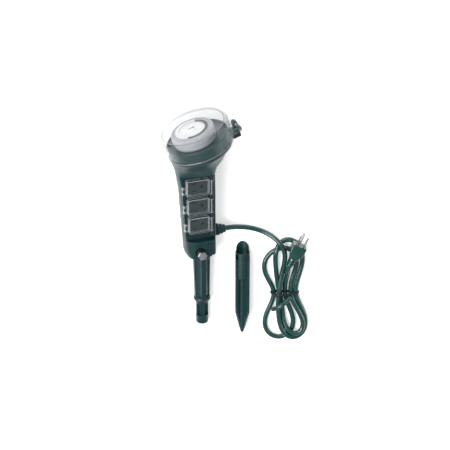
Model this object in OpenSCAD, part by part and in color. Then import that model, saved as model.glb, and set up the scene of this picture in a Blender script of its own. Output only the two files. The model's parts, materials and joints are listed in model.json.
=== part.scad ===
// Outdoor power stake with a dial timer, six covered outlets, a loose ground spike and a grounded lead.
// The kit lies on a table: X runs across, Y along the stake towards its head, Z is up, Z = 0 is the table.
// Each piece of the stake unit is drawn upright, with its plug end at z = 0, and on_unit() lays it down.

/* [Outlet body] */
// Half of the body's thickness, from the mid-plane to an outlet side
body_half = 23; // [22.5:0.5:24]
// Thickness of the moulded walls
wall = 2.6; // [2.2:0.1:3]
// Height of the body's underside above the plug end
body_low = 131; // [129:1:132]
// Distance from the stake's axis to the flat back of the body
body_back = 19.5; // [19:0.5:20.5]
// Depth plane of the outlet recess, measured from the mid-plane
recess_x = 12; // [11.5:0.5:12.5]

/* [Head] */
// Height of the head's centre above the plug end
head_z = 321; // [321:1:324]
// Forward tilt of the head, in degrees
head_tilt = 18; // [15:1:20]
// Radius of the head's flange
head_r = 50.4; // [50:0.1:50.6]

/* [Timer] */
// Radius of the fluted dial ring at its foot
dial_r = 34; // [32:0.5:35]
// Offset of the dial's axis from the head's centre
dial_y = -3.5; // [-5:0.5:-2]
// Number of half-hour trippers round the dial
trippers = 48; // [24:24:96]
// Number of trippers pressed down to switch on
trippers_down = 24; // [1:1:24]

/* [Timer cover] */
// Outer radius of the clear cover at its rim
cover_r = 53; // [52.8:0.1:53.4]
// Height of the clear cover
cover_h = 36; // [35:0.5:38]
// Wall of the clear cover
cover_wall = 1.8; // [1.6:0.1:1.9]

/* [Outlets] */
// Spacing of the three outlets on each side
outlet_pitch = 32.5; // [32:0.1:32.8]
// Height of the middle outlet
outlet_mid = 227.5; // [227:0.5:228]
// Height of one clear outlet cover along the stake
lid_tall = 27; // [26:0.5:27.5]

/* [Stake] */
// Radius of the round plug end that takes the spike
plug_r = 10.3; // [10.1:0.1:10.3]
// Radius of the collar above the plug end
collar_r = 13.9; // [13:0.1:14.5]
// Width of the ribbed shaft above the collar
shaft_low_w = 23.8; // [22:0.2:25]
// Width of the ribbed shaft where it enters the body
shaft_high_w = 27.2; // [26:0.2:27.4]

/* [Spike] */
// Length of the spike from its tip to the top of its tongue
spike_len = 158; // [150:1:170]
// Width across opposite ribs
spike_w = 29; // [27:0.5:30]
// Thickness of a rib
spike_rib = 4; // [3:0.5:5]

/* [Lead] */
// Outside diameter of the three-core cord
cord_d = 8.2; // [7.6:0.1:8.4]
// Height of the tied hank
hank_h = 17; // [16:0.5:20]

/* [Laying down] */
// Slope of the stake, because its head is wider than its plug end, in degrees
slope = 7.57; // [7:0.01:8]
// Roll of the stake about its own axis, in degrees
roll = 18; // [14:1:22]

/* [Hidden] */
$fn = 64;

GREEN = [0.12, 0.24, 0.23];
DARK_GREEN = [0.07, 0.14, 0.14];
CORD_GREEN = [0.10, 0.33, 0.28];
CLEAR = [0.85, 0.88, 0.88, 0.4];
GREY = [0.62, 0.64, 0.66];
WHITE = [0.92, 0.92, 0.92];
BLACK = [0.08, 0.08, 0.09];
STEEL = [0.75, 0.77, 0.80];
BRASS = [0.75, 0.60, 0.30];

// Where the laid-down pieces stand on the table
plug_edge = 2;
unit_x = -8.2;
unit_y = -176;
unit_z = (plug_r - plug_edge) * cos(slope) - plug_edge * sin(slope) + plug_edge;
spike_x = 57.8;
spike_y = -194.5;

// Body sections: height, tilt, centre y, half width, front depth, back depth, front and back squareness
outline_points = 40;
body_y = -8;
back_depth = body_back - body_y;
head_sink = 4;
top_y = head_sink * sin(head_tilt);
top_z = head_z - head_sink * cos(head_tilt);
SECTIONS = [
    [body_low, 0, body_y, body_half - 2.5, 12, back_depth - 3, 2.6, 5],
    [body_low + 2, 0, body_y, body_half - 0.8, 16.5, back_depth - 0.8, 2.5, 6],
    [body_low + 7, 0, body_y, body_half, 19.6, back_depth, 2.4, 6.5],
    [body_low + 14, 0, body_y, body_half, 21, back_depth, 2.3, 6.5],
    [200, 0, body_y, body_half, 24.4, back_depth, 2.3, 6.5],
    [255, 0, body_y, body_half, 27.6, back_depth, 2.3, 6.5],
    [279, 0, body_y, body_half + 0.5, 31.5, back_depth, 2.3, 5],
    [288, 4, body_y + 2, body_half + 3.5, 35, back_depth + 3, 2.2, 3.2],
    [297.5, 9, body_y + 4, body_half + 10.5, 39.5, 40, 2.1, 2.4],
    [308.5, 14, body_y + 6.5, body_half + 19.5, 45, 45.5, 2, 2],
    [top_z - 2.5, head_tilt, top_y + 0.8, head_r - 1, head_r - 1, head_r - 1, 2, 2],
    [top_z, head_tilt, top_y, head_r, head_r, head_r, 2, 2],
];
LAST = len(SECTIONS) - 1;

// Outlet recess and what sits in it
recess_low = 165;
recess_high = 279;
recess_back = 16.4;
panel_t = 2;
face_x = recess_x + 6;
face_front = -23.5;
face_back = 4.5;
face_tall = 22.5;
lid_back = 7.5;
lid_low_x = recess_x + 3.2;
lid_top_x = recess_x + 10.7;
lid_wall = 1.5;
hinge_x = recess_x + 7;
hinge_y = 12;
rod_r = 1;

// Head frame: heights above the rim plane of the timer cover
lip_r = 48.8;
lip_h = 16;
deck_h = 12;
gear_h = 4;
gear_t = 4;
gear_teeth = 36;
pinion_teeth = 12;
gear_module = 1;
gear_gap = (gear_teeth + pinion_teeth) / 2 * gear_module + 0.15;
cover_hinge_y = 62.5;
cover_hinge_h = 6;
cover_pin_r = 1.5;
ear_in = 6;
ear_out = 14;
window_r = cover_r - 3.7;

// Bolt that holds the shaft in the body, and the gland of the lead
bolt_y = -8;
bolt_z = 146;
gland_z = 170;
gland_end = 40;

// Where a point of the upright unit comes to lie
function laid(p) =
    let (drop = cos(roll) * p[0] - sin(roll) * p[1])
    [unit_x + sin(roll) * p[0] + cos(roll) * p[1],
     unit_y + cos(slope) * p[2] - sin(slope) * drop,
     unit_z + sin(slope) * p[2] + cos(slope) * drop];

// Lead and hank: the route from the gland on, chosen by hand
cord_sides = 10;
hank_x = 126;
hank_low_y = -180;
hank_high_y = -62;
hank_low_r = 36;
hank_high_r = 33;
tie_y = -126;
tie_w = 44;
plug_turn = -24;
plug_at = [149.2, -36, cord_d + 11.2];
plug_len = 25;
relief_len = 15;
function behind_plug(d) = plug_at + [d * sin(plug_turn), -d * cos(plug_turn), 0];
LEAD = [
    laid([0, gland_end, gland_z]), laid([0, gland_end + 8, gland_z]), [50, -7, 12.4], [61, -9.6, 8], [71, -12.4, 5.2],
    [81, -15.4, 4.4], [91, -18.6, 5.2], [100, -22.4, 7.4], [108, -27.4, 11], [114.6, -33.6, 14.6],
    [120, -40.6, 16.6], [124.4, -48.4, 15],
];
TAIL = [
    behind_plug(plug_len + relief_len), behind_plug(plug_len + relief_len + 6), [128.8, -84.6, 17.4],
    [127.6, -92, 14.2], [127.2, -99, 11.6],
];

// ---- frames ----

// Lays the upright stake unit down on the table
module on_unit() {
    translate([unit_x, unit_y, unit_z]) rotate([slope - 90, 0, 0]) rotate([0, 0, roll - 90]) children();
}

// Head frame: +z out of the dial, z = 0 at the timer cover's rim
module on_head() {
    on_unit() translate([0, 0, head_z]) rotate([head_tilt, 0, 0]) children();
}

module on_dial() {
    on_head() translate([0, dial_y, 0]) children();
}

// Drawn for the right-hand outlet side, or mirrored to the left one
module on_side(right) {
    on_unit() mirror([right ? 0 : 1, 0, 0]) children();
}

// Spike frame: +z from the tip to the socket, +y down to the table
module on_spike() {
    translate([spike_x, spike_y, 11.9]) rotate([-90, 0, 0]) children();
}

// Plug frame: +y towards the blades
module on_plug() {
    translate(plug_at) rotate([0, 0, plug_turn]) children();
}

// ---- shared shapes ----

// A cylinder along +x from x0 to x1
module rod_x(r, x0, x1, sides = 48) {
    translate([x0, 0, 0]) rotate([0, 90, 0]) cylinder(r = r, h = x1 - x0, $fn = sides);
}

module box(low, high) {
    translate(low) cube(high - low);
}

// Corner points of a rectangle with round corners
function rounded(x0, y0, x1, y1, r, k = 5) = [
    for (c = [[x1 - r, y1 - r, 0], [x0 + r, y1 - r, 90], [x0 + r, y0 + r, 180], [x1 - r, y0 + r, 270]])
        for (i = [0:k]) [c[0] + r * cos(c[2] + 90 * i / k), c[1] + r * sin(c[2] + 90 * i / k)]
];

// Extrudes a y-z outline along x
module slab_x(points, x0, x1) {
    translate([x0, 0, 0]) rotate([90, 0, 90]) linear_extrude(x1 - x0) polygon(points);
}

// Section outline, with its own squareness for the front and the back half
function outline(s) = [
    for (i = [0:outline_points - 1])
        let (t = 360 * i / outline_points, c = cos(t), d = sin(t), front = d < 0,
             e = 2 / (front ? s[6] : s[7]), y = (front ? s[4] : s[5]) * sign(d) * pow(abs(d), e))
        [s[3] * sign(c) * pow(abs(c), e), s[2] + y * cos(s[1]), s[0] + y * sin(s[1])]
];

// Skins a list of equal rings of points into one closed solid
module skin(rings) {
    n = len(rings[0]);
    last = len(rings) - 1;
    points = [for (ring = rings) for (p = ring) p];
    sides = [
        for (k = [0:last - 1]) for (i = [0:n - 1])
            let (a = k * n + i, b = k * n + (i + 1) % n)
            for (f = [[a, a + n, b + n], [a, b + n, b]]) f
    ];
    floor_face = [for (i = [0:n - 1]) i];
    roof_face = [for (i = [n - 1:-1:0]) last * n + i];
    polyhedron(points, concat(sides, [floor_face, roof_face]), convexity = 6);
}

// Rings of a round tube swept along a route that lies mostly flat
function unit(v) = v / norm(v);
function heading(route, i) =
    unit(route[min(i + 1, len(route) - 1)] - route[max(i - 1, 0)]);
function tube_ring(route, i, r) =
    let (t = heading(route, i), side = unit(cross([0, 0, 1], t)), up = cross(t, side))
    [for (k = [0:cord_sides - 1]) route[i] + r * (cos(360 * k / cord_sides) * side + sin(360 * k / cord_sides) * up)];
module tube(route, r) {
    skin([for (i = [0:len(route) - 1]) tube_ring(route, i, r)]);
}

// Flat spur gear outline with straight-flanked teeth; turn sets where the first tooth points
function gear_points(teeth, turn) =
    let (p = 360 / teeth, r = teeth * gear_module / 2)
    [for (i = [0:teeth - 1]) for (f = [[-0.31, -1.1], [-0.21, 0], [-0.11, 0.8], [0.11, 0.8], [0.21, 0], [0.31, -1.1]])
        (r + f[1] * gear_module) * [cos(turn + (i + f[0]) * p), sin(turn + (i + f[0]) * p)]];

// ---- housing ----

function shrink(s, w) = [s[0], s[1], s[2], s[3] - w, s[4] - w, s[5] - w, s[6], s[7]];
function lift(s, dy, dz) = [s[0] + dz, s[1], s[2] + dy, s[3], s[4], s[5], s[6], s[7]];

module housing_skin() {
    skin([for (s = SECTIONS) outline(s)]);
}

module housing_hollow() {
    floor_section = lift(shrink(SECTIONS[2], wall + 0.6), 0, wall - 7);
    top_section = lift(shrink(SECTIONS[LAST], wall), -2 * sin(head_tilt), 2 * cos(head_tilt));
    skin(concat([outline(floor_section)],
                [for (k = [3:LAST]) outline(shrink(SECTIONS[k], wall))], [outline(top_section)]));
}

module recess() {
    for (side = [-1, 1]) scale([side, 1, 1])
        box([recess_x, -60, recess_low], [60, recess_back, recess_high]);
}

module recess_walls() {
    for (side = [-1, 1]) scale([side, 1, 1])
        box([recess_x - 2.4, -60, recess_low - wall], [60, body_back, recess_high + wall]);
}

// Windows through the recess floor for the receptacles
module receptacle_windows() {
    for (side = [-1, 1]) for (k = [-1:1]) scale([side, 1, 1])
        box([recess_x - 4, face_front - 0.4, outlet_mid + k * outlet_pitch - face_tall / 2 - 0.4],
            [recess_x + 1, face_back + 0.4, outlet_mid + k * outlet_pitch + face_tall / 2 + 0.4]);
}

// Screw positions of the two halves: y, z
SCREWS = [[12, 152], [-22, 156], [-27, 288], [13, 288]];

module screw_bosses() {
    for (s = SCREWS) translate([0, s[0], s[1]]) rod_x(4, -24, 24);
}

module screw_holes() {
    for (s = SCREWS) translate([0, s[0], s[1]]) {
        rod_x(3.8, -40, -15);
        rod_x(1.7, -16, 0);
        rod_x(1.35, -0.01, 14);
    }
}

// Lugs under the deck that the two halves close round, two in each half
LUG_TURNS = [-32, 32, 148, 212];
module at_lugs() {
    for (t = LUG_TURNS) rotate([0, 0, t]) translate([30, 0, 0]) children();
}

module head_local() {
    translate([0, 0, head_z]) rotate([head_tilt, 0, 0]) children();
}

module both_halves() {
    difference() {
        union() {
            difference() {
                housing_skin();
                housing_hollow();
            }
            intersection() {
                housing_skin();
                union() {
                    recess_walls();
                    screw_bosses();
                    translate([0, bolt_y, bolt_z]) rod_x(11, -24, -14);
                    translate([0, bolt_y, bolt_z]) rod_x(11, 14, 24);
                    head_local() at_lugs() box([-6, -6.5, -15], [30, 6.5, -9]);
                }
            }
            // raised sill under each row of outlets
            for (side = [-1, 1]) scale([side, 1, 1]) box([20, -16, recess_low - 8.5], [23.8, 14, recess_low - 6]);
        }
        recess();
        receptacle_windows();
        screw_holes();
        // slots that the halves slide over the lugs with
        head_local() for (side = [-1, 1]) scale([1, side, 1]) box([-25.4, 13.3, -16], [25.4, 18.5, -8]);
        head_local() at_lugs() translate([0, 0, -16]) cylinder(r = 2.6, h = 8, $fn = 32);
        box([-13.9, -13.9, body_low - 5], [13.9, 13.9, body_low + 8]);
        // counterbores and hole for the shaft's bolt
        for (side = [-1, 1]) scale([side, 1, 1]) translate([0, bolt_y, bolt_z]) rod_x(8, 17, 40);
        translate([0, bolt_y, bolt_z]) rod_x(3.2, -40, 40);
        // hole for the gland
        translate([0, 40, gland_z]) rotate([90, 0, 0]) cylinder(r = 7.2, h = 30);
        // the back of the underside is cut higher than the front
        box([-40, 8, body_low - 5], [40, 60, body_low + 7]);
    }
}

module right_housing() {
    color(GREEN) on_unit() intersection() {
        both_halves();
        box([0, -80, 100], [80, 80, 360]);
    }
}

module left_housing() {
    color(GREEN) on_unit() intersection() {
        both_halves();
        box([-80, -80, 100], [0, 80, 360]);
    }
}

module housing_screws() {
    color(STEEL) on_unit() for (s = SCREWS) translate([0, s[0], s[1]]) difference() {
        union() {
            rod_x(3.2, -17.5, -15);
            rod_x(1.3, -15.5, 11);
        }
        box([-19, -2.2, -0.4], [-16.6, 2.2, 0.4]);
        box([-19, -0.4, -2.2], [-16.6, 0.4, 2.2]);
    }
}

// ---- head and timer ----

module timer_deck() {
    color(GREEN) on_head() difference() {
        union() {
            rotate_extrude() polygon([
                [0, deck_h - 2], [lip_r - 2.4, deck_h - 2], [lip_r - 2.4, -3], [head_r, -3], [head_r, -0.8],
                [lip_r, -0.8], [lip_r, lip_h - 1], [lip_r - 1, lip_h], [lip_r - 2.4, lip_h],
                [lip_r - 2.4, deck_h], [0, deck_h],
            ]);
            at_lugs() {
                translate([0, 0, -18]) cylinder(r = 2.5, h = 17 + deck_h, $fn = 32);
                translate([0, 0, -17.5]) cylinder(r = 4.5, h = 2.2, $fn = 32);
                translate([0, 0, -8.8]) cylinder(r = 4.5, h = 2, $fn = 32);
            }
            box([-ear_out, 45.5, -6], [ear_out, cover_hinge_y - 3, -0.8]);
            for (x = [-ear_out, ear_in]) {
                box([x, cover_hinge_y - 4.2, -6], [x + ear_out - ear_in, cover_hinge_y, cover_hinge_h]);
                translate([0, cover_hinge_y, cover_hinge_h]) rod_x(4.2, x, x + ear_out - ear_in);
            }
        }
        translate([0, cover_hinge_y, cover_hinge_h]) rod_x(cover_pin_r + 0.02, -30, 30);
        translate([0, dial_y, 0]) cylinder(r = 3.06, h = 30);
        // the plate of the ears starts outside the housing's neck
        difference() {
            translate([0, 0, -6.5]) cylinder(r = head_r + 0.1, h = 3.5);
            translate([0, 0, -7]) cylinder(r = 44, h = 5);
        }
    }
}

module deck_gasket() {
    color(BLACK) on_head() difference() {
        translate([0, 0, -head_sink]) cylinder(r = head_r - 0.5, h = head_sink - 3);
        translate([0, 0, -5]) cylinder(r = head_r - 3.2, h = 3);
    }
}

module timer_case() {
    color(GREY) on_dial() rotate_extrude() polygon([
        [3.3, deck_h], [dial_r - 1.5, deck_h], [dial_r - 1.5, 19.4], [dial_r - 3.5, 19.4],
        [dial_r - 3.5, deck_h + 1.5], [3.3, deck_h + 1.5],
    ]);
}

module timer_motor() {
    color(STEEL) on_dial() translate([0, gear_gap, -14]) difference() {
        union() {
            cylinder(r = 15, h = 16.4);
            cylinder(r = 4, h = 17.2);
        }
        translate([0, 0, 8]) cylinder(r = 1.06, h = 20, $fn = 24);
    }
}

module timer_switch() {
    color(BLACK) on_dial() {
        box([-12, -33, -8], [12, -24, 5.5]);
        box([-2, -24, 4], [2, -21, 5]);
    }
}

module cover_hinge_pin() {
    color(STEEL) on_head() translate([0, cover_hinge_y, cover_hinge_h]) rod_x(cover_pin_r, -18.6, 18.6, 32);
}

module dial_ring() {
    flutes = 60;
    color(GREY) on_dial() difference() {
        rotate_extrude() polygon([
            [3.04, 20], [7, 20], [7, 29], [dial_r - 4, 29], [dial_r - 4, 20], [dial_r, 20],
            [dial_r - 0.8, 30.2], [dial_r - 1.8, 31], [25.8, 31], [25.8, 29.9], [3.04, 29.9],
        ]);
        for (i = [0:flutes - 1]) rotate([0, 0, 360 * i / flutes]) translate([dial_r + 0.3, 0, 19])
            cylinder(r = 1.15, h = 13, $fn = 16);
    }
}

module dial_face() {
    color(WHITE) on_dial() rotate_extrude() polygon([
        [0, 29.9], [20.4, 29.9], [20.4, 31.2], [19.6, 31.5], [8, 31.5], [7.2, 33], [0, 33.4],
    ]);
}

// One switching segment; its angle counts from +x
module tripper(i, top) {
    rotate([0, 0, (i + 0.5) * 360 / trippers]) box([20.8, -1.1, 29.9], [25.6, 1.1, top]);
}

first_down = -4;
function is_down(i) = (i - first_down + trippers) % trippers < trippers_down;

module trippers_on() {
    color(BLACK) on_dial() for (i = [0:trippers - 1]) if (is_down(i)) tripper(i, 31.3);
}

module trippers_off() {
    color(WHITE) on_dial() for (i = [0:trippers - 1]) if (!is_down(i)) tripper(i, 32.4);
}

module dial_gear() {
    color(WHITE) on_dial() {
        translate([0, 0, gear_h]) linear_extrude(gear_t) polygon(gear_points(gear_teeth, 90));
        translate([0, 0, gear_h - 2]) cylinder(r = 3, h = 29.8 - gear_h + 2);
    }
}

module motor_pinion() {
    color(BRASS) on_dial() translate([0, gear_gap, 0]) {
        translate([0, 0, gear_h - 0.4]) linear_extrude(gear_t + 0.8)
            polygon(gear_points(pinion_teeth, -90 + 180 / pinion_teeth));
        translate([0, 0, -4]) cylinder(r = 1, h = gear_h + 4, $fn = 24);
    }
}

// Skirt of the cover, with the rebate that its flat window is bonded into
module timer_cover() {
    top_r = cover_r + 1.5;
    knuckle_r = 3.8;
    ledge_r = window_r - 1.3;
    color(CLEAR) on_head() difference() {
        union() {
            rotate_extrude($fn = 96) polygon([
                [cover_r - cover_wall, 0], [cover_r + 0.5, 0], [cover_r + 0.5, 1.6], [cover_r, 2.2],
                [top_r, cover_h - 4], [top_r - 0.5, cover_h - 2], [top_r - 2, cover_h - 0.5],
                [top_r - 4, cover_h], [window_r + 0.05, cover_h], [window_r + 0.05, cover_h - cover_wall],
                [ledge_r, cover_h - cover_wall], [ledge_r, cover_h - cover_wall - 0.8], [window_r, cover_h - 3],
                [top_r - cover_wall, cover_h - 6],
            ]);
            for (span = [[-ear_in + 0.6, ear_in - 0.6, 51.6], [-18, -ear_out - 0.6, 49.4], [ear_out + 0.6, 18, 49.4]]) {
                translate([0, cover_hinge_y, cover_hinge_h]) rod_x(knuckle_r, span[0], span[1]);
                box([span[0], span[2], cover_hinge_h - 2.5], [span[1], cover_hinge_y, cover_hinge_h + 3.8]);
            }
            // finger tab of the latch at the front
            box([-9, -57, -4.5], [9, -51.6, 9]);
            box([-9, -59, -4.5], [9, -56, -2.5]);
        }
        translate([0, cover_hinge_y, cover_hinge_h]) rod_x(cover_pin_r + 0.07, -30, 30);
    }
}

module cover_window() {
    color(CLEAR) on_head() translate([0, 0, cover_h - cover_wall])
        cylinder(r = window_r, h = cover_wall, $fn = 96);
}

// ---- outlets ----

// Outlets count from the head down: 1, 2, 3
function outlet_z(i) = outlet_mid + (2 - i) * outlet_pitch;
function lid_front(i) = -28.5 + 1.3 * (i - 1);
POST_GAP = 11.2;

module outlet_panel() {
    difference() {
        union() {
            slab_x([[-26, recess_low + 0.4], [15.9, recess_low + 0.4], [15.9, recess_high - 0.4], [-31, recess_high - 0.4]],
                   recess_x, recess_x + panel_t);
            for (i = [1:3]) slab_x(rounded(face_front, outlet_z(i) - face_tall / 2, face_back,
                                           outlet_z(i) + face_tall / 2, 4), 1.4, face_x);
            for (z = [outlet_z(1) + POST_GAP, outlet_z(2) + POST_GAP, outlet_z(3) + POST_GAP, outlet_z(3) - 21.5]) {
                translate([hinge_x, hinge_y, z]) cylinder(r = 3.4, h = 7);
                box([recess_x + 1, hinge_y - 2, z], [hinge_x, hinge_y + 2, z + 7]);
            }
        }
        translate([hinge_x, hinge_y, recess_low]) cylinder(r = rod_r + 0.02, h = 150, $fn = 32);
        for (i = [1:3]) translate([0, 0, outlet_z(i)]) {
            box([3, -19.6, 5.35], [30, -11.4, 7.35]);
            box([3, -19, -7.35], [30, -12, -5.35]);
            translate([0, -3.1, 0]) rod_x(2.55, 3, 30, 32);
        }
    }
}

module hinge_rod() {
    translate([hinge_x, hinge_y, outlet_z(3) - 22.3]) cylinder(r = rod_r, h = 2 * outlet_pitch + 40.7, $fn = 32);
}

module right_outlet_panel() {
    color(DARK_GREEN) on_side(true) outlet_panel();
}

module left_outlet_panel() {
    color(DARK_GREEN) on_side(false) outlet_panel();
}

module right_hinge_rod() {
    color(STEEL) on_side(true) hinge_rod();
}

module left_hinge_rod() {
    color(STEEL) on_side(false) hinge_rod();
}

// Three strips between the two rows of receptacles
module bus_bars() {
    color(BRASS) on_unit() for (y = [-18, -10, -4])
        box([-0.6, y, outlet_z(3) - 10], [0.6, y + 5, outlet_z(1) + 10]);
}

// Clear lid of one outlet: a shallow tray with a hinge barrel and a latch clip with two fingers
module outlet_lid(i) {
    z = outlet_z(i);
    front = lid_front(i);
    difference() {
        union() {
            slab_x(rounded(front, z - lid_tall / 2, lid_back, z + lid_tall / 2, 2.5), lid_low_x, lid_top_x);
            translate([hinge_x, hinge_y, z - 13.6]) cylinder(r = 3.4, h = 23.6);
            box([hinge_x - 2.4, lid_back - 1, z - 13], [hinge_x + 3.4, hinge_y, z + 10]);
            box([lid_low_x + 1, front - 6, z - 10.5], [lid_low_x + 3, front + 1, z + 1.5]);
            for (dz = [-10.5, -1]) box([lid_low_x - 1.6, front - 6, z + dz], [lid_low_x + 4.2, front - 4, z + dz + 2.5]);
        }
        slab_x(rounded(front + lid_wall, z - lid_tall / 2 + lid_wall, lid_back - lid_wall,
                       z + lid_tall / 2 - lid_wall, 1.5), lid_low_x - 5, lid_top_x - lid_wall);
        translate([hinge_x, hinge_y, z - 30]) cylinder(r = rod_r + 0.07, h = 60, $fn = 32);
    }
}

module outlet_lid_r1() {
    color(CLEAR) on_side(true) outlet_lid(1);
}

module outlet_lid_r2() {
    color(CLEAR) on_side(true) outlet_lid(2);
}

module outlet_lid_r3() {
    color(CLEAR) on_side(true) outlet_lid(3);
}

module outlet_lid_l1() {
    color(CLEAR) on_side(false) outlet_lid(1);
}

module outlet_lid_l2() {
    color(CLEAR) on_side(false) outlet_lid(2);
}

module outlet_lid_l3() {
    color(CLEAR) on_side(false) outlet_lid(3);
}

// ---- stake ----

// A tapering plate, wide in x, that the crossed ribs are cut from
module shaft_taper() {
    low = 50;
    w0 = shaft_low_w / 2;
    w1 = shaft_high_w / 2;
    rotate([90, 0, 0]) linear_extrude(60, center = true)
        polygon([[-w0, low], [w0, low], [w1, body_low + 1], [-w1, body_low + 1]]);
}

module stake_shaft() {
    window_low = 15.5;
    window_high = 38;
    collar_low = 43.5;
    collar_high = 51;
    rib = 4.4;
    flute_at = 14.2;
    color(GREEN) on_unit() difference() {
        union() {
            // plug end: a rounded foot, four windows between crossed ribs, and a ring, both a little slimmer
            rotate_extrude() polygon(concat([[0, 0]],
                [for (a = [-90:15:0]) [plug_r - plug_edge + plug_edge * cos(a), plug_edge + plug_edge * sin(a)]],
                [[plug_r, window_low], [0, window_low]]));
            intersection() {
                cylinder(r = plug_r - 0.3, h = collar_low + 1);
                union() {
                    translate([0, 0, 10]) cylinder(r = 5, h = collar_low - 9);
                    box([-rib / 2, -20, 10], [rib / 2, 20, collar_low + 1]);
                    box([-20, -rib / 2, 10], [20, rib / 2, collar_low + 1]);
                    translate([0, 0, window_high]) cylinder(r = 20, h = collar_low - window_high + 1);
                }
            }
            rotate_extrude() polygon([
                [0, collar_low], [collar_r - 2, collar_low], [collar_r - 0.4, collar_low + 1.8], [collar_r, collar_low + 3.6],
                [collar_r - 0.4, collar_high - 1.8], [collar_r - 2, collar_high], [0, collar_high],
            ]);
            difference() {
                intersection() {
                    shaft_taper();
                    rotate([0, 0, 90]) shaft_taper();
                }
                for (x = [-flute_at, flute_at]) for (y = [-flute_at, flute_at])
                    translate([x, y, 45]) cylinder(r = 10.6, h = 100);
            }
            box([-13.6, -13.6, body_low - 0.5], [13.6, 13.6, 141]);
            box([-13.6, -13.6, body_low - 0.5], [13.6, 6.5, 160]);
        }
        translate([0, bolt_y, bolt_z]) rod_x(3.1, -20, 20);
    }
}

module bolt_sleeve() {
    color(BLACK) on_unit() translate([0, bolt_y, bolt_z]) difference() {
        union() {
            rod_x(6.3, 17, 31.5);
            rod_x(7, 17, 19);
        }
        rod_x(3.08, 10, 40);
    }
}

module stake_bolt() {
    color(STEEL) on_unit() translate([0, bolt_y, bolt_z]) difference() {
        union() {
            rotate([30, 0, 0]) rod_x(7.2, 31.5, 35.4, 6);
            rod_x(3, -25, 32);
        }
        for (a = [20, 140, 260]) rotate([a, 0, 0]) translate([0, 3.6, 0]) rod_x(0.8, 35, 37, 16);
    }
}

module bolt_washer() {
    color(STEEL) on_unit() translate([0, bolt_y, bolt_z]) difference() {
        rod_x(7, -18, -17);
        rod_x(3.15, -30, 0);
    }
}

module bolt_nut() {
    color(STEEL) on_unit() translate([0, bolt_y, bolt_z]) difference() {
        rod_x(6.4, -23, -18, 6);
        rod_x(3.04, -30, 0);
    }
}

// Ribbed bend relief moulded onto the lead where it leaves the body
module cord_gland() {
    color(GREEN) on_unit() translate([0, 0, gland_z]) rotate([-90, 0, 0]) rotate_extrude() polygon([
        [0, 13.4], [9.4, 13.4], [9.4, 16.2], [7, 16.2], [7, 19.7], [10.6, 19.7], [10.6, 22.6], [8.4, 23.4],
        [8.4, 25], [9.8, 25.6], [9.4, 28.8], [7.4, 29.4], [7.4, 31], [8.4, 31.6], [8, 34.2], [6.2, 34.8],
        [6.2, 36.2], [6.8, 36.6], [6.4, 39], [5, gland_end], [0, gland_end],
    ]);
}

// Clamp bar that grips the lead behind the gland, with its two screws
module cord_clamp() {
    color(BLACK) on_unit() {
        box([-9, 5, gland_z - 3], [9, 9, gland_z + 3]);
        for (x = [-7, 7]) translate([x, 12.5, gland_z]) rotate([90, 0, 0]) cylinder(r = 1.6, h = 4, $fn = 24);
    }
}

// ---- spike ----

module ground_spike() {
    tube_low = 100;
    mouth = spike_len - 14;
    arch_r = 10.4;
    socket_r = 10.5;
    tube_r = 11.9;
    color(GREEN) on_spike() difference() {
        union() {
            // crossed ribs, ground to a point; the near left rib stops lower than the others
            intersection() {
                union() {
                    for (a = [45, 135]) rotate([0, 0, a])
                        box([-spike_w / 2, -spike_rib / 2, 0], [spike_w / 2, spike_rib / 2, mouth - 4]);
                    cylinder(r = 6.6, h = tube_low + 4);
                }
                union() {
                    cylinder(r1 = 2.4, r2 = 17, h = 47);
                    translate([0, 0, 46.9]) cylinder(r = 17, h = spike_len);
                }
            }
            translate([0, 0, tube_low]) cylinder(r = tube_r, h = mouth - tube_low);
            // tongue that leads the plug end into the socket
            intersection() {
                cylinder(r = tube_r, h = spike_len);
                box([-20, 3, mouth - 1], [20, 20, spike_len]);
                rotate([90, 0, 0]) translate([0, 0, -30]) {
                    translate([0, spike_len - arch_r, 0]) cylinder(r = arch_r, h = 60);
                    box([-arch_r, mouth - 2, 0], [arch_r, spike_len - arch_r, 60]);
                }
            }
        }
        translate([0, 0, tube_low + 2.5]) cylinder(r = socket_r, h = spike_len);
        translate([0, 0, mouth]) cylinder(r = socket_r + 0.3, h = spike_len);
        // relief of the near left rib and the catch window beside it
        box([-20, -20, mouth - 12], [-7.4, -6.6, spike_len]);
        box([-20, -7, mouth - 12], [-6, -1.5, mouth - 3]);
    }
}

// ---- lead ----

module cord_lead() {
    color(CORD_GREEN) tube(LEAD, cord_d / 2);
}

module cord_tail() {
    color(CORD_GREEN) tube(TAIL, cord_d / 2);
}

// Outline with round ends and a waist where the tie grips it, lower where the plug lies on it
module cord_hank() {
    waist = tie_w / 2 - 1.5;
    color(CORD_GREEN) difference() {
        linear_extrude(hank_h) union() {
            translate([hank_x, hank_low_y]) circle(r = hank_low_r);
            translate([hank_x, hank_high_y]) circle(r = hank_high_r);
            polygon([
                [hank_x - hank_low_r * 0.97, hank_low_y + 8], [hank_x + hank_low_r * 0.97, hank_low_y + 8],
                [hank_x + waist, tie_y - 5], [hank_x + waist, tie_y + 5],
                [hank_x + hank_high_r * 0.97, hank_high_y - 8], [hank_x - hank_high_r * 0.97, hank_high_y - 8],
                [hank_x - waist, tie_y + 5], [hank_x - waist, tie_y - 5],
            ]);
        }
        on_plug() box([-13, -plug_len - relief_len - 0.2, -11.2], [40, 30, 20]);
    }
}

module cord_tie() {
    waist = tie_w / 2 - 1.5;
    color(BLACK) difference() {
        box([hank_x - tie_w / 2, tie_y - 3, 0.3], [hank_x + tie_w / 2, tie_y + 3, hank_h + 1.5]);
        box([hank_x - waist, tie_y - 4, -1], [hank_x + waist, tie_y + 4, hank_h]);
    }
}

// Tail end of the tie, folded across the top of the hank below the band
module tie_strap() {
    color(CORD_GREEN) translate([hank_x - 12, tie_y - 24, hank_h + cord_d / 2]) rotate([0, 90, 38])
        cylinder(r = cord_d / 2, h = 26, $fn = 24);
}

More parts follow.
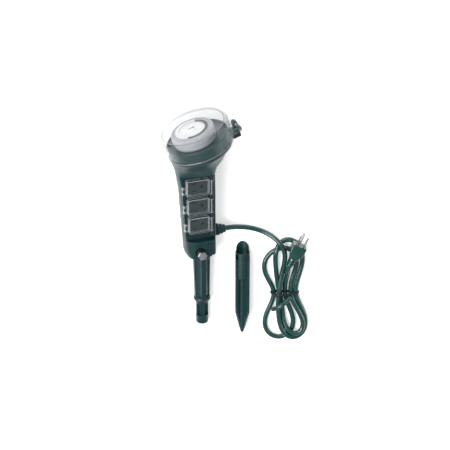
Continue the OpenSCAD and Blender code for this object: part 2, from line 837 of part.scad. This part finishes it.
// ---- mains plug ----

module plug_body() {
    color(CORD_GREEN) on_plug() hull() {
        box([-11, -16, -11], [11, -1, 9.5]);
        box([-12, -15, -9.5], [12, 0, 8]);
        translate([-7.5, -plug_len, -7.5]) cube([15, 2, 15]);
    }
}

module plug_relief() {
    color(CORD_GREEN) on_plug() translate([0, -plug_len - relief_len, 0]) rotate([-90, 0, 0]) rotate_extrude()
        polygon([
            [0, 0], [5, 0], [5.4, 1.6], [4.8, 2.2], [4.8, 3.6], [6, 4], [6.2, 5.8], [5, 6.4], [5, 7.6],
            [6.6, 8], [6.8, 10], [5.4, 10.6], [5.4, 12], [7, 12.4], [7, relief_len], [0, relief_len],
        ]);
}

blade_z = 3.6;
module plug_blades() {
    color(STEEL) on_plug() for (x = [-6.35, 6.35]) difference() {
        slab_x(rounded(0, blade_z - 3.2, 17.8, blade_z + 3.2, 1.2, 3), x - 0.75, x + 0.75);
        translate([x, 13, blade_z]) rod_x(1.5, -5, 5, 24);
    }
}

module ground_pin() {
    color(STEEL) on_plug() translate([0, 0, blade_z - 11.9]) rotate([-90, 0, 0]) rotate_extrude($fn = 32)
        polygon(concat([[0, 0], [2.4, 0]], [for (a = [0:30:90]) [2.4 * cos(a), 18 + 2.4 * sin(a)]]));
}

right_housing();
left_housing();
timer_deck();
deck_gasket();
housing_screws();
timer_case();
timer_motor();
timer_switch();
cover_hinge_pin();
dial_ring();
dial_face();
trippers_on();
trippers_off();
dial_gear();
motor_pinion();
timer_cover();
cover_window();
right_outlet_panel();
left_outlet_panel();
right_hinge_rod();
left_hinge_rod();
bus_bars();
outlet_lid_r1();
outlet_lid_r2();
outlet_lid_r3();
outlet_lid_l1();
outlet_lid_l2();
outlet_lid_l3();
stake_shaft();
bolt_sleeve();
stake_bolt();
bolt_washer();
bolt_nut();
cord_gland();
cord_clamp();
ground_spike();
cord_lead();
cord_hank();
cord_tail();
cord_tie();
tie_strap();
plug_body();
plug_relief();
plug_blades();
ground_pin();
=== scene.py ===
"""Looks of the outdoor power stake: dial timer head, covered outlets, loose spike, tied cord and plug.

The stake lies on a table: X runs across, Y along it towards the head, Z is up. Lengths in the script are in
millimetres, and MM turns them into Blender's metres.
"""

import json
import math

import bmesh
import bpy
import numpy as np
from mathutils import Matrix, Vector


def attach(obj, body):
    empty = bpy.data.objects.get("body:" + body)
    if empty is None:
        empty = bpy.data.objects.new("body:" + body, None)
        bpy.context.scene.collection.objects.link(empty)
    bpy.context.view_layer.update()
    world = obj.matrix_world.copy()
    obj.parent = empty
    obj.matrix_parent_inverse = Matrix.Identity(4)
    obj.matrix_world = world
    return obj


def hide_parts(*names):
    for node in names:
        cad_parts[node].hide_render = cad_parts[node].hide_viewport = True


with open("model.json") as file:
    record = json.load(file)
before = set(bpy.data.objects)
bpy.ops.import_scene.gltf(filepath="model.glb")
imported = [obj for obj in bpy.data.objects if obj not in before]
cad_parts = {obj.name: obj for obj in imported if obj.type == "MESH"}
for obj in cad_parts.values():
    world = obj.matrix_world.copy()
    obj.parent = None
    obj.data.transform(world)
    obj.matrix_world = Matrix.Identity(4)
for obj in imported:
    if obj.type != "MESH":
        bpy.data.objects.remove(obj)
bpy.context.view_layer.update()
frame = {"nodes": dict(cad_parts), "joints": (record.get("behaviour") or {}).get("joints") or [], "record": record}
nodes = frame["nodes"]
joints = {joint["name"]: joint for joint in frame["joints"]}
mounts = {mount["name"]: mount for mount in frame["record"]["mounts"]}
MM = 0.001


# ---- frames, worked out from the joints and mounts ----

def frame_at(x, z, origin):
    """Matrix from millimetres in a local frame to metres in the shared one."""
    x, z = Vector(x), Vector(z)
    matrix = Matrix((x, z.cross(x), z)).transposed().to_4x4()
    matrix.translation = origin
    return matrix @ Matrix.Scale(MM, 4)


UNIT_X = -Vector(joints["cover_open"]["axis"])
dial_joint = joints["dial_turn"]
lid_joint = joints["lid_r1_open"]
ON_DIAL = frame_at(UNIT_X, dial_joint["axis"], dial_joint["pos_m"])
# The upper right lid's hinge stands at (19, 12, 260) in the unit's own frame, whose Z runs up its length
ON_UNIT = frame_at(UNIT_X, lid_joint["axis"], lid_joint["pos_m"]) @ Matrix.Translation((-19, -12, -260))
plug_forward = Vector(mounts["mains_plug"]["axis"])
ON_PLUG = frame_at(plug_forward.cross((0, 0, 1)), (0, 0, 1), mounts["mains_plug"]["pos_m"])
ON_TABLE = Matrix.Scale(MM, 4)
# Height of the cord gland in the unit's frame, and how far its mouth stands out
GLAND_Z = 170
GLAND_MOUTH = 40


# ---- camera and light ----

def add_camera():
    """Looks down on the table from the head's side, with the head at the top of the picture."""
    height = math.radians(67.8)
    distance = 1.765
    target = Vector((29.5, 6.4, 38)) * MM
    toward = Vector((0, math.cos(height), math.sin(height)))
    up = Vector((0, math.sin(height), -math.cos(height)))
    data = bpy.data.cameras.new("camera")
    data.sensor_width = 36
    data.lens = 90
    camera = bpy.data.objects.new("camera", data)
    camera.matrix_world = Matrix(((1, 0, 0), up, toward)).transposed().to_4x4()
    camera.location = target + distance * toward
    bpy.context.scene.collection.objects.link(camera)
    bpy.context.scene.camera = camera


def softbox(name, place, size, power, colour=(1, 1, 1)):
    """Rectangular light aimed at the middle of the table, with its size in metres and power in watts."""
    data = bpy.data.lights.new(name, "AREA")
    data.shape = "RECTANGLE"
    data.size, data.size_y = size
    data.energy = power
    data.color = colour
    lamp = bpy.data.objects.new(name, data)
    lamp.location = place
    lamp.rotation_mode = "QUATERNION"
    lamp.rotation_quaternion = (-Vector(place)).to_track_quat("-Z", "Y")
    bpy.context.scene.collection.objects.link(lamp)


def add_light():
    """Even white surroundings, and softboxes for the streaks along the body and the cord."""
    world = bpy.data.worlds.new("studio")
    world.use_nodes = True
    backdrop = world.node_tree.nodes["Background"]
    backdrop.inputs["Color"].default_value = (1, 1, 1, 1)
    backdrop.inputs["Strength"].default_value = 0.42
    bpy.context.scene.world = world
    softbox("key", (-0.9, 0.7, 1.4), (0.7, 1.0), 17)
    softbox("strip", (-0.75, -0.15, 1.3), (0.35, 1.3), 22)
    softbox("front", (0.1, 1.5, 0.8), (0.9, 0.5), 7)
    softbox("side", (1.3, -0.1, 0.35), (0.5, 0.8), 5, (0.8, 0.9, 1))
    bpy.context.scene.view_settings.view_transform = "Standard"


def add_floor():
    """White table, well past the picture's edges."""
    mesh = bpy.data.meshes.new("floor")
    side = 4
    corners = [(-side, -side, 0), (side, -side, 0), (side, side, 0), (-side, side, 0)]
    mesh.from_pydata(corners, [], [(0, 1, 2, 3)])
    floor = bpy.data.objects.new("floor", mesh)
    mesh.materials.append(FLOOR)
    bpy.context.scene.collection.objects.link(floor)


# ---- materials ----

class Look:
    """A procedural material under construction: its shader, and textures laid out in object space."""

    def __init__(self, name, colour, roughness, **sockets):
        self.material = bpy.data.materials.new(name)
        self.material.use_nodes = True
        self.tree = self.material.node_tree
        self.shader = self.tree.nodes["Principled BSDF"]
        self.shader.inputs["Base Color"].default_value = (*colour, 1)
        self.shader.inputs["Roughness"].default_value = roughness
        for socket, value in sockets.items():
            self.shader.inputs[socket.replace("_", " ")].default_value = value
        self.place = self.add("ShaderNodeTexCoord").outputs["Object"]
        self.normal = None

    def add(self, kind, **values):
        node = self.tree.nodes.new(kind)
        for key, value in values.items():
            setattr(node, key, value)
        return node

    def link(self, source, target):
        self.tree.links.new(source, target)

    def noise(self, scale, detail=3, stretch=(1, 1, 1)):
        """Noise with about `scale` lumps in a metre, stretched along the axes."""
        mapping = self.add("ShaderNodeMapping")
        mapping.inputs["Scale"].default_value = stretch
        self.link(self.place, mapping.inputs["Vector"])
        noise = self.add("ShaderNodeTexNoise")
        noise.inputs["Scale"].default_value = scale
        noise.inputs["Detail"].default_value = detail
        self.link(mapping.outputs["Vector"], noise.inputs["Vector"])
        return noise.outputs["Fac"]

    def vary(self, source, low, high, socket):
        """Spreads a texture over a number's range on the shader."""
        spread = self.add("ShaderNodeMapRange")
        spread.inputs["From Min"].default_value = 0.3
        spread.inputs["From Max"].default_value = 0.7
        spread.inputs["To Min"].default_value = low
        spread.inputs["To Max"].default_value = high
        self.link(source, spread.inputs["Value"])
        self.link(spread.outputs["Result"], self.shader.inputs[socket])

    def tint(self, source, first, second):
        """Runs the base colour from one colour to another with a texture."""
        ramp = self.add("ShaderNodeValToRGB")
        ramp.color_ramp.elements[0].position = 0.32
        ramp.color_ramp.elements[0].color = (*first, 1)
        ramp.color_ramp.elements[1].position = 0.68
        ramp.color_ramp.elements[1].color = (*second, 1)
        self.link(source, ramp.inputs["Fac"])
        self.link(ramp.outputs["Color"], self.shader.inputs["Base Color"])

    def soften(self, radius):
        """Rounds hard edges in the shading, by a radius in millimetres."""
        bevel = self.add("ShaderNodeBevel", samples=4)
        bevel.inputs["Radius"].default_value = radius * MM
        self.normal = bevel.outputs["Normal"]
        self.link(self.normal, self.shader.inputs["Normal"])

    def bump(self, source, depth, strength=1.0):
        """Raises a texture by a depth in millimetres."""
        bump = self.add("ShaderNodeBump")
        bump.inputs["Strength"].default_value = strength
        bump.inputs["Distance"].default_value = depth * MM
        self.link(source, bump.inputs["Height"])
        if self.normal:
            self.link(self.normal, bump.inputs["Normal"])
        self.normal = bump.outputs["Normal"]
        self.link(self.normal, self.shader.inputs["Normal"])


def moulded(name, dark, light, roughness, grain=0.03, edge=0.35):
    """Spark-textured moulded plastic, with a faint flow mottle and softened edges."""
    look = Look(name, dark, roughness)
    look.shader.inputs["Specular IOR Level"].default_value = 0.4
    look.tint(look.noise(45, 4), dark, light)
    look.vary(look.noise(160, 4), roughness - 0.06, roughness + 0.08, "Roughness")
    look.soften(edge)
    look.bump(look.noise(1900, 2), grain)
    look.bump(look.noise(60, 2), 0.08)
    return look.material


def jacket(name, dark, light):
    """Extruded cord jacket: semi-gloss, slightly wavy, with a fine matt grain."""
    look = Look(name, dark, 0.24)
    look.tint(look.noise(70, 3), dark, light)
    look.vary(look.noise(220, 4), 0.18, 0.3, "Roughness")
    look.shader.inputs["Coat Weight"].default_value = 0.3
    look.shader.inputs["Coat Roughness"].default_value = 0.12
    look.bump(look.noise(1500, 2), 0.015)
    look.bump(look.noise(90, 2), 0.2)
    return look.material


def metal(name, colour, roughness, stretch):
    """Drawn or plated metal with fine lines along one axis and small stains."""
    look = Look(name, colour, roughness, Metallic=1.0)
    look.tint(look.noise(120, 5), [0.82 * part for part in colour], colour)
    look.vary(look.noise(400, 4, stretch), roughness - 0.08, roughness + 0.12, "Roughness")
    look.soften(0.2)
    look.bump(look.noise(900, 2, stretch), 0.015)
    return look.material


def clear(name, colour, painted_edge_colour, roughness, least):
    """Clear moulded plastic: a thin light film that shows most along its edges and where it turns away. The edge
    colour and the extra opacity are painted light: a painted highlight where the edge colour is lighter than the
    film, painted shade where it is darker, and a painted reflection where the film turns away.
    """
    look = Look(name, colour, roughness, IOR=1.5)
    look.soften(0.9)
    # Edge mask from the softened normal: it marks the edges for the painted edge colour and extra opacity, painted
    # light standing in for the light that clear edges catch and bend.
    corner = look.add("ShaderNodeVectorMath", operation="DOT_PRODUCT")
    look.link(look.normal, corner.inputs[0])
    look.link(look.add("ShaderNodeNewGeometry").outputs["Normal"], corner.inputs[1])
    along = look.add("ShaderNodeMath", operation="ABSOLUTE")
    look.link(corner.outputs["Value"], along.inputs[0])
    edge = look.add("ShaderNodeMapRange")
    edge.inputs["From Min"].default_value = 0.995
    edge.inputs["From Max"].default_value = 0.93
    look.link(along.outputs["Value"], edge.inputs["Value"])
    # Where the film turns away it grows more opaque: a painted reflection, standing in for the stronger reflection
    # at grazing angles.
    turned = look.add("ShaderNodeLayerWeight")
    turned.inputs["Blend"].default_value = 0.5
    grazing = look.add("ShaderNodeMath", operation="POWER")
    grazing.inputs[1].default_value = 4
    look.link(turned.outputs["Facing"], grazing.inputs[0])
    most = look.add("ShaderNodeMath", operation="MAXIMUM")
    look.link(edge.outputs["Result"], most.inputs[0])
    look.link(grazing.outputs["Value"], most.inputs[1])
    film = look.add("ShaderNodeMapRange")
    film.inputs["To Min"].default_value = least
    film.inputs["To Max"].default_value = 0.95
    look.link(most.outputs["Value"], film.inputs["Value"])
    look.link(film.outputs["Result"], look.shader.inputs["Alpha"])
    # Painted edge colour on the edges: a painted highlight when it is lighter than the film, painted shade when it
    # is darker.
    look.tint(edge.outputs["Result"], colour, painted_edge_colour)
    look.vary(look.noise(130, 4), roughness, roughness + 0.05, "Roughness")
    look.bump(look.noise(55, 2), 0.06)
    return look.material


def rubber(name, colour):
    """Matt black rubber with a fine grain."""
    look = Look(name, colour, 0.55)
    look.tint(look.noise(200, 4), colour, [1.6 * part for part in colour])
    look.vary(look.noise(300, 4), 0.45, 0.65, "Roughness")
    look.soften(0.25)
    look.bump(look.noise(1400, 3), 0.03)
    return look.material


def paper_floor():
    """White paper that glows a little, which keeps the shadows light."""
    look = Look("floor_paper", (0.93, 0.93, 0.93), 0.8, Emission_Strength=0.42)
    look.bump(look.noise(700, 2), 0.02)
    return look.material


GREEN = moulded("green_plastic", (0.002, 0.022, 0.024), (0.004, 0.030, 0.032), 0.36)
DARK_GREEN = moulded("dark_green_plastic", (0.005, 0.015, 0.018), (0.008, 0.022, 0.025), 0.34)
GREY = moulded("grey_plastic", (0.30, 0.315, 0.335), (0.36, 0.375, 0.40), 0.35)
WHITE = moulded("white_plastic", (0.78, 0.78, 0.79), (0.84, 0.84, 0.84), 0.3, 0.015, 0.15)
BLACK = moulded("black_plastic", (0.010, 0.011, 0.012), (0.018, 0.019, 0.020), 0.35)
PRINT = moulded("dial_print", (0.05, 0.055, 0.06), (0.08, 0.085, 0.09), 0.5, 0.01, 0.05)
CORD_GREEN = jacket("cord_green", (0.002, 0.036, 0.032), (0.004, 0.048, 0.043))
RUBBER = rubber("black_rubber", (0.012, 0.012, 0.013))
STEEL = metal("zinc_steel", (0.46, 0.49, 0.54), 0.38, (1, 14, 1))
BLADE = metal("blade_steel", (0.50, 0.49, 0.48), 0.25, (1, 1, 10))
BRASS = metal("brass", (0.62, 0.42, 0.14), 0.28, (1, 10, 1))
# Clear looks: the small clear parts get lighter edges, a painted highlight; the cover and its window get darker
# edges, painted shade.
CLEAR = clear("clear_plastic", (0.27, 0.29, 0.30), (0.60, 0.64, 0.64), 0.05, 0.045)
COVER = clear("clear_cover", (0.24, 0.27, 0.28), (0.22, 0.23, 0.24), 0.05, 0.04)
WINDOW = clear("clear_window", (0.30, 0.31, 0.33), (0.22, 0.23, 0.24), 0.03, 0.08)
FLOOR = paper_floor()


# ---- CAD nodes ----

LOOK_OF_SLOT = {
    "green_plastic": GREEN, "dark_green_plastic": DARK_GREEN, "grey_plastic": GREY, "white_plastic": WHITE,
    "black_plastic": BLACK, "cord_green": CORD_GREEN, "black_rubber": RUBBER, "zinc_steel": STEEL,
    "blade_steel": BLADE, "brass": BRASS, "clear_plastic": CLEAR,
}


def smooth(obj, angle=35):
    """Smooth shading with sharp edges past an angle; the mesh itself stays as it is."""
    mesh = obj.data
    for name in ("custom_normal", "sharp_edge", "sharp_face"):
        if name in mesh.attributes:
            mesh.attributes.remove(mesh.attributes[name])
    mesh.polygons.foreach_set("use_smooth", [True] * len(mesh.polygons))
    weld = obj.modifiers.new("weld", "WELD")
    weld.merge_threshold = 0.002 * MM
    split = obj.modifiers.new("split", "EDGE_SPLIT")
    split.split_angle = math.radians(angle)
    level = obj.modifiers.new("level", "WEIGHTED_NORMAL")
    level.keep_sharp = True


def dress_cad_nodes():
    """Gives every CAD node its slot's look, and the cover's two pieces clear looks of their own."""
    for part in frame["record"]["subparts"]:
        obj = nodes[part["node"]]
        obj.data.materials.clear()
        obj.data.materials.append(LOOK_OF_SLOT[part["material_slot"]])
        smooth(obj)
    nodes["timer_cover"].data.materials[0] = COVER
    nodes["cover_window"].data.materials[0] = WINDOW


# ---- mesh helpers ----

def make(name, points, faces, place, body, look):
    """A piece from points in a local frame's millimetres, riding on a body."""
    mesh = bpy.data.meshes.new(name)
    mesh.from_pydata([place @ Vector(p) for p in points], [], faces)
    bm = bmesh.new()
    bm.from_mesh(mesh)
    bmesh.ops.recalc_face_normals(bm, faces=bm.faces)
    bm.to_mesh(mesh)
    bm.free()
    mesh.materials.append(look)
    piece = bpy.data.objects.new(name, mesh)
    bpy.context.scene.collection.objects.link(piece)
    smooth(piece)
    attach(piece, body)
    return piece


def loft(rings, closed=False):
    """Points and faces of equal rings joined in a row, with end caps or closed on itself."""
    size = len(rings[0])
    points = [p for ring in rings for p in ring]
    pairs = [(k, k + 1) for k in range(len(rings) - 1)]
    if closed:
        pairs.append((len(rings) - 1, 0))
    faces = [
        (a * size + i, a * size + (i + 1) % size, b * size + (i + 1) % size, b * size + i)
        for a, b in pairs for i in range(size)
    ]
    if not closed:
        faces.append(tuple(range(size)))
        faces.append(tuple(range(len(points) - size, len(points)))[::-1])
    return points, faces


def joined(parts):
    """Several sets of points and faces as one."""
    points, faces = [], []
    for more_points, more_faces in parts:
        shift = len(points)
        points += more_points
        faces += [tuple(i + shift for i in face) for face in more_faces]
    return points, faces


def rounded(half_x, low, high, radius, steps=6):
    """Corner points of an upright rectangle with round corners, in x and z."""
    corners = [(half_x, high, 0), (-half_x, high, 90), (-half_x, low, 180), (half_x, low, 270)]
    out = []
    for x, z, start in corners:
        cx = x - math.copysign(radius, x)
        cz = z - (radius if z == high else -radius)
        for k in range(steps + 1):
            a = math.radians(start + 90 * k / steps)
            out.append((cx + radius * math.cos(a), cz + radius * math.sin(a)))
    return out


# ---- cord ----

CORD = 8.2
# The cord's way over the table, given point by point: gland, two right loops, two left ones, then the plug
CORD_ROUTE = [
    (50, -7, 12), (61, -10, 8), (71, -12, 5), (81, -15, 4), (91, -19, 5), (100, -22, 7), (108, -27, 11),
    (115, -34, 15), (120, -41, 17), (126, -46, 15), (127, -60, 13), (124, -78, 13), (121, -94, 13),
    (119, -109, 13), (118, -122, 13), (117, -136, 12), (117, -152, 11), (118, -167, 11), (122, -182, 12),
    (129, -197, 13), (139, -206, 12), (150, -208, 8), (158, -202, 5), (162, -188, 4), (161, -172, 4),
    (156, -157, 4), (150, -144, 4), (146, -134, 4), (145, -126, 4), (146, -112, 4), (150, -96, 4),
    (154, -81, 4), (156, -66, 4), (153, -51, 4), (146, -40, 4), (136, -32, 5), (126, -30, 7), (119, -36, 10),
    (114, -46, 12), (112, -60, 12), (112, -75, 9), (113, -90, 5), (114, -103, 4), (117, -116, 4),
    (119, -126, 4), (122, -138, 4), (124, -150, 4), (125, -164, 5), (127, -178, 9), (133, -192, 13),
    (143, -200, 15), (153, -196, 13), (158, -184, 12), (156, -168, 11), (150, -152, 10), (142, -138, 7),
    (137, -126, 4), (137, -112, 4), (140, -98, 4), (144, -84, 4), (146, -70, 4), (143, -58, 4),
    (136, -49, 4),
    (126, -46, 4), (114, -48, 4), (104, -56, 4), (96, -66, 4), (92, -77, 4), (94, -90, 4), (98, -102, 4),
    (106, -114, 4), (110, -126, 4), (108, -139, 4), (102, -154, 4), (96, -170, 4), (95, -186, 4),
    (101, -200, 4), (112, -209, 4), (124, -208, 4), (135, -202, 4), (142, -190, 4), (143, -176, 4),
    (138, -160, 4), (133, -146, 4), (129, -136, 4), (128, -126, 4), (127, -112, 5), (130, -98, 9),
    (132, -86, 13),
]
# Where the tie goes round the hank
TIE_Y = -126


def through(route, steps=8):
    """Points of a centripetal curve through a route's points."""
    p = np.array(route, float)
    p = np.vstack([2 * p[0] - p[1], p, 2 * p[-1] - p[-2]])
    out = []
    for i in range(len(p) - 3):
        a, b, c, d = p[i:i + 4]
        t = np.r_[0, np.cumsum([math.sqrt(np.linalg.norm(v)) for v in (b - a, c - b, d - c)])]
        for u in np.linspace(t[1], t[2], steps, endpoint=False):
            ab = ((t[1] - u) * a + u * b) / t[1]
            bc = ((t[2] - u) * b + (u - t[1]) * c) / (t[2] - t[1])
            cd = ((t[3] - u) * c + (u - t[2]) * d) / (t[3] - t[2])
            abc = ((t[2] - u) * ab + u * bc) / t[2]
            bcd = ((t[3] - u) * bc + (u - t[1]) * cd) / (t[3] - t[1])
            out.append(((t[2] - u) * abc + (u - t[1]) * bcd) / (t[2] - t[1]))
    return np.array(out + [p[-2]])


def even(line, step):
    """The same line with its points a step apart."""
    along = np.r_[0, np.cumsum(np.linalg.norm(np.diff(line, axis=0), axis=1))]
    where = np.linspace(0, along[-1], round(along[-1] / step) + 1)
    return np.stack([np.interp(where, along, line[:, k]) for k in range(3)], 1)


def settle(line, turns=2500):
    """Relaxes the cord like an elastic rod that keeps its length and lies on the table and on itself.

    The drawn route holds it lightly, and firmly under the tie. Both ends stay where they are.
    """
    stiffness = 0.22
    weight = 0.004
    gap_kept = CORD + 0.1
    floor = CORD / 2 + 0.05
    spot = line.copy()
    count = len(line)
    pitch = np.linalg.norm(np.diff(line, axis=0), axis=1).mean()
    order = np.arange(count)
    apart = np.abs(order[:, None] - order[None]) * pitch > 3 * CORD
    hold = np.where(np.abs(line[:, 1] - TIE_Y) < 6, 0.2, 0.002)[:, None]
    free = np.ones((count, 1))
    free[:6] = free[-4:] = 0
    for _ in range(turns):
        push = hold * (spot - line)
        bend = line[:-2] - 2 * line[1:-1] + line[2:]
        push[:-2] -= stiffness * bend
        push[1:-1] += 2 * stiffness * bend
        push[2:] -= stiffness * bend
        link = np.diff(line, axis=0)
        size = np.linalg.norm(link, axis=1, keepdims=True)
        pull = 0.4 * (size - pitch) / size * link
        push[:-1] += pull
        push[1:] -= pull
        between = line[:, None] - line[None]
        reach = np.linalg.norm(between, axis=2)
        first, second = np.where((reach < gap_kept) & apart)
        away = between[first, second] / (reach[first, second][:, None] + 1e-6)
        np.add.at(push, first, 0.35 * (gap_kept - reach[first, second])[:, None] * away)
        push[:, 2] += np.where(line[:, 2] < floor, (floor - line[:, 2]) * 0.5, -weight)
        line = line + 0.35 * free * push
    return line


def cord_line():
    """The settled centreline, in millimetres, from the gland's mouth to the plug's bend relief."""
    gland = [tuple(ON_UNIT @ Vector((0, y, GLAND_Z)) / MM) for y in (GLAND_MOUTH, GLAND_MOUTH + 8)]
    plug = [tuple(ON_PLUG @ Vector((0, y, 0)) / MM) for y in (-48, -40)]
    line = even(through(gland + CORD_ROUTE + plug), 4)
    for _ in range(4):
        line[1:-1] = (line[:-2] + 2 * line[1:-1] + line[2:]) / 4
    return settle(line, 2500)


def add_cord(line):
    """The cord itself and its length in metres; it stands for the three simple solids of the CAD."""
    dense = through(line, 3)
    data = bpy.data.curves.new("cord", "CURVE")
    data.dimensions = "3D"
    data.bevel_depth = CORD / 2 * MM
    data.bevel_resolution = 7
    data.use_fill_caps = True
    spline = data.splines.new("POLY")
    spline.points.add(len(dense) - 1)
    spline.points.foreach_set("co", np.c_[dense * MM, np.ones(len(dense))].ravel())
    spline.use_smooth = True
    data.materials.append(CORD_GREEN)
    cord = bpy.data.objects.new("cord", data)
    bpy.context.scene.collection.objects.link(cord)
    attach(cord, "stake_unit")
    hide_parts("cord_lead", "cord_hank", "cord_tail")
    return cord, float(np.linalg.norm(np.diff(dense, axis=0), axis=1).sum()) * MM


def tube(line, radius, sides=20):
    """A round bar along a line with round ends."""
    line = np.array(line, float)
    heading = np.gradient(line, axis=0)
    heading /= np.linalg.norm(heading, axis=1, keepdims=True)
    cap = [math.radians(a) for a in (80, 60, 40, 20)]
    front = [(line[0] - radius * math.sin(a) * heading[0], heading[0], radius * math.cos(a)) for a in cap]
    back = [(line[-1] + radius * math.sin(a) * heading[-1], heading[-1], radius * math.cos(a)) for a in cap]
    stations = front + [(p, h, radius) for p, h in zip(line, heading)] + back[::-1]
    rings = []
    for p, h, r in stations:
        side = np.cross((0, 0, 1), h)
        side /= np.linalg.norm(side)
        top = np.cross(h, side)
        turns = [2 * math.pi * k / sides for k in range(sides)]
        rings.append([tuple(p + r * (math.cos(a) * side + math.sin(a) * top)) for a in turns])
    return loft(rings)


def add_strap():
    """Short green end that lies across the hank below the band."""
    route = [
        (109, -153, 13), (113, -150, 17), (118, -146, 20.6), (124, -141, 19.6), (130, -137, 16),
        (135, -133, 13),
    ]
    points, faces = tube(through(route, 5), CORD / 2)
    strap = make("strap_end", points, faces, ON_TABLE, "stake_unit", CORD_GREEN)
    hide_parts("tie_strap")
    return strap


def hull_loop(centres, radius, gap):
    """Outline of a band drawn tight round circles, as x and z points."""
    dots = [
        (x + (radius + gap) * math.cos(a), z + (radius + gap) * math.sin(a))
        for x, z in centres for a in [2 * math.pi * k / 24 for k in range(24)]
    ]
    dots = sorted(set(dots))
    halves = []
    for row in (dots, dots[::-1]):
        half = []
        for p in row:
            while len(half) > 1:
                (ax, az), (bx, bz) = half[-2:]
                if (bx - ax) * (p[1] - az) - (bz - az) * (p[0] - ax) > 0:
                    break
                half.pop()
            half.append(p)
        halves += half[:-1]
    return halves


def add_tie(line):
    """Thin black band drawn tight round the hank's strands, with a twisted knot on top."""
    strands = []
    for a, b in zip(line[:-1], line[1:]):
        if (a[1] - TIE_Y) * (b[1] - TIE_Y) <= 0:
            strands.append((a + b)[[0, 2]] / 2)
    outline = hull_loop(strands, CORD / 2, 0.9)
    loop = [(x, TIE_Y + 0.25 * math.sin(x / 4), max(z, 0.8)) for x, z in outline]
    rings = []
    for k, p in enumerate(loop):
        q = Vector(loop[(k + 1) % len(loop)]) - Vector(loop[k - 1])
        out = Vector((q.z, 0, -q.x)).normalized()
        profile = [(0.7 * math.cos(a), 2.4 * math.sin(a)) for a in [2 * math.pi * i / 12 for i in range(12)]]
        rings.append([tuple(Vector(p) + out * u + Vector((0, v, 0))) for u, v in profile])
    band = loft(rings, closed=True)
    top = max(loop, key=lambda p: p[2])
    ends = [
        tube(through([(top[0] + 2 * s, TIE_Y, top[2]), (top[0] + 5 * s, TIE_Y + 2 * s, top[2] + 1.2),
                      (top[0] + 9 * s, TIE_Y + 5 * s, top[2] + 0.6)], 4), 0.9, 10) for s in (-1, 1)
    ]
    knot = tube(through([(top[0] - 2.4, TIE_Y - 0.6, top[2] + 0.4), (top[0], TIE_Y, top[2] + 1.1),
                         (top[0] + 2.4, TIE_Y + 0.6, top[2] + 0.4)], 4), 1.3, 12)
    points, faces = joined([band, knot, *ends])
    tie = make("tie_band", points, faces, ON_TABLE, "stake_unit", BLACK)
    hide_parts("cord_tie")
    return tie


# ---- plug ----

def add_plug():
    """Moulded plug body: necked towards the cord, with grip ribs above and below."""
    # Each section: place along the plug, half width, low and high edge, corner radius
    sections = [
        (-25, 7, -7, 7, 3), (-23.8, 7.9, -7.9, 7.8, 3.4), (-19.5, 9.4, -9.2, 8.4, 3.2),
        (-16, 11, -10.4, 9.2, 2.6), (-14, 11.5, -10.9, 9.4, 2.2), (-3, 12, -11, 9.4, 2),
        (-0.9, 11.9, -10.9, 9.3, 2), (0, 11, -10, 8.4, 1.6),
    ]
    shell = loft([[(x, y, z) for x, z in rounded(half, low, high, r)] for y, half, low, high, r in sections])
    ribs = []
    for z, side in ((9.3, 1), (-10.85, -1)):
        for k in range(4):
            y = -13 + 2.9 * k
            arc = [math.radians(a) for a in range(0, 181, 30)]
            profile = [(y + 0.75 * math.cos(a), z + side * 0.7 * math.sin(a)) for a in arc]
            profile += [(y - 0.75, z - side * 0.5), (y + 0.75, z - side * 0.5)]
            ribs.append(loft([[(x, u, v) for u, v in profile] for x in (-7.5, 7.5)]))
    points, faces = joined([shell, *ribs])
    body = make("plug_shell", points, faces, ON_PLUG, "stake_unit", CORD_GREEN)
    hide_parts("plug_body")
    return body


# ---- dial ----

def add_dial_numbers():
    """Hours 1 to 24 printed round the grey ring."""
    bm = bmesh.new()
    for hour in range(1, 25):
        text = bpy.data.curves.new("hour", "FONT")
        text.body = str(hour)
        text.size = 3.4
        text.extrude = 0.06
        text.align_x = "CENTER"
        text.align_y = "CENTER"
        holder = bpy.data.objects.new("hour", text)
        mesh = bpy.data.meshes.new_from_object(holder)
        turn = Matrix.Rotation(-math.radians(15 * hour), 4, "Z")
        mesh.transform(ON_DIAL @ turn @ Matrix.Translation((0, 29, 31.04)))
        bm.from_mesh(mesh)
        bpy.data.meshes.remove(mesh)
        bpy.data.objects.remove(holder)
        bpy.data.curves.remove(text)
    mesh = bpy.data.meshes.new("dial_numbers")
    bm.to_mesh(mesh)
    bm.free()
    mesh.materials.append(PRINT)
    numbers = bpy.data.objects.new("dial_numbers", mesh)
    bpy.context.scene.collection.objects.link(numbers)
    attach(numbers, "dial")


def bar(x0, x1, y0, y1, z0, z1, turn):
    """Box points and faces in the dial's frame, turned about its axis."""
    c, s = math.cos(turn), math.sin(turn)
    square = [(x0, y0), (x1, y0), (x1, y1), (x0, y1)]
    return loft([[(c * x - s * y, s * x + c * y, z) for x, y in square] for z in (z0, z1)])


def add_dial_marks():
    """Raised grey ticks in three rings on the white face."""
    marks = []
    for k in range(48):
        turn = math.radians(7.5 * k)
        marks.append(bar(17.4, 19.2, -0.3, 0.3, 31.4, 31.62, turn))
        if k % 2:
            marks.append(bar(13.6, 15.6, -0.35, 0.35, 31.4, 31.66, turn))
        if k % 4 == 0:
            marks.append(bar(9.8, 11.8, -0.4, 0.4, 31.4, 31.66, turn))
    points, faces = joined(marks)
    make("dial_marks", points, faces, ON_DIAL, "dial", GREY)


def add_dial_arrow():
    """Pointer on the knob in the middle of the dial."""
    outline = [(0, 6), (2.2, 2), (0.8, 2), (0.8, -5), (-0.8, -5), (-0.8, 2), (-2.2, 2)]
    points, faces = loft([[(x, y, z) for x, y in outline] for z in (32.9, 33.55)])
    make("dial_arrow", points, faces, ON_DIAL, "dial", PRINT)


# ---- build ----

add_camera()
line = cord_line()
cord, cord_length = add_cord(line)
strap = add_strap()
tie = add_tie(line)
plug = add_plug()
dress_cad_nodes()
add_dial_numbers()
add_dial_marks()
add_dial_arrow()
add_floor()
add_light()
